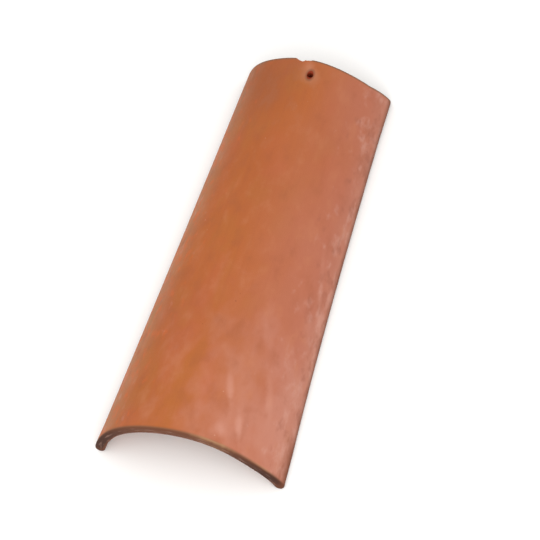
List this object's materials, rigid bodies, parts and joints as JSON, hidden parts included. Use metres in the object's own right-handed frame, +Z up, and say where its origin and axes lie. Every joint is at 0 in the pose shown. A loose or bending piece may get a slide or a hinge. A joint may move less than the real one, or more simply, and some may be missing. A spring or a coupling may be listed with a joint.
{
  "type": "clay roof tile",
  "caption": "Tapered half-round barrel roof tile of fired clay, wide at the butt and narrow at the head, with a nail hole through the crown near the head.",
  "frame": {"origin": "middle of the tile's box, on the floor between its two feet", "axes": "+Y along the tile from the wide butt to the narrow head, +Z up through the crown, +X across it"},
  "size_m": [0.1996, 0.4581, 0.0839],
  "materials": {
    "terracotta": "matte unglazed fired clay, orange-brown to salmon"
  },
  "bodies": {
    "root": {"barrel_tile": "terracotta"}
  },
  "joints": []
}
